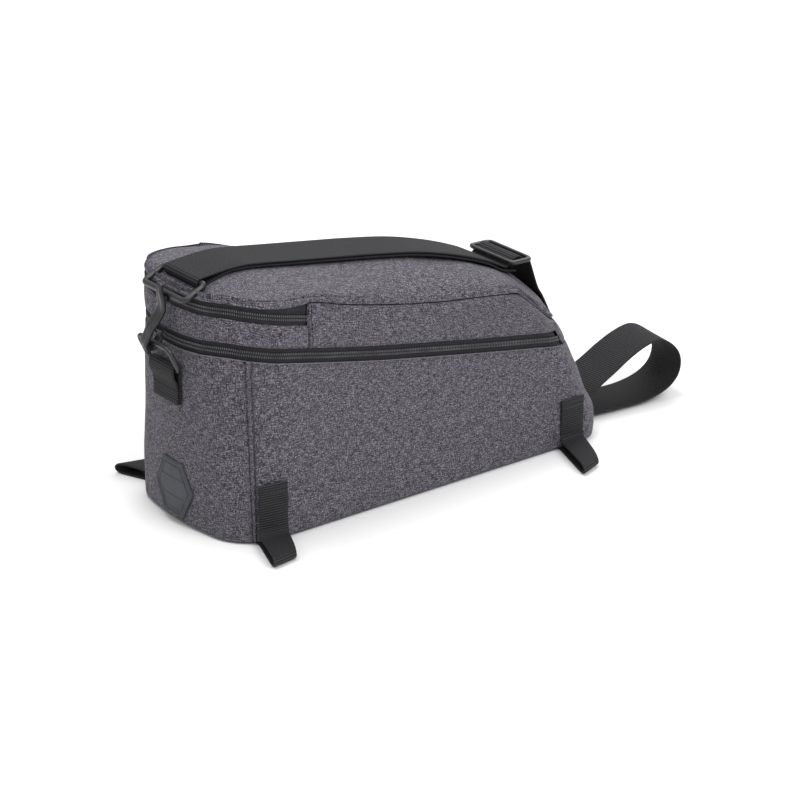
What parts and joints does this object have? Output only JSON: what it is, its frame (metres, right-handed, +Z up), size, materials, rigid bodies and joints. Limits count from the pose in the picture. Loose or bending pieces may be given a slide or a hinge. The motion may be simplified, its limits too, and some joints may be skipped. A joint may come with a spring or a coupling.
{
  "type": "bicycle trunk bag",
  "caption": "Wedge-shaped padded bag for a bicycle's rear rack, with a zipped main hold, a zipped lid pocket, a shoulder strap on a swivel hook, lashing loops and a tail loop",
  "frame": {"origin": "under the middle of the bag's bounding box, on the surface that it rests on", "axes": "+X runs from the wide rear end, with its label and ring, to the narrow nose with its webbing loop; +Z is up; -Y is the side that the picture shows"},
  "size_m": [0.5486, 0.2456, 0.2171],
  "materials": {
    "cloth": "heather grey woven polyester over foam",
    "base_cloth": "black coated cloth",
    "zip_tape": "black woven tape with coil teeth",
    "zip_slider": "black moulded",
    "webbing": "black ribbed webbing",
    "plastic": "black moulded, slight sheen",
    "label": "slate grey embossed"
  },
  "bodies": {
    "root": {"lower_body": "cloth", "middle_band": "cloth", "lid": "cloth", "base_panel": "base_cloth", "lower_zip": "zip_tape", "upper_zip": "zip_tape", "lower_zip_slider": "zip_slider", "upper_zip_slider": "zip_slider", "loop_rear_near": "webbing", "loop_rear_far": "webbing", "loop_nose_near": "webbing", "loop_nose_far": "webbing", "handle_loop": "webbing", "shoulder_strap": "webbing", "rear_tab": "webbing", "strap_adjuster": "plastic", "rear_ring": "plastic", "hook_eye": "plastic", "hook_swivel": "plastic", "swivel_hook": "plastic", "hook_gate": "plastic", "label": "label"}
  },
  "joints": []
}
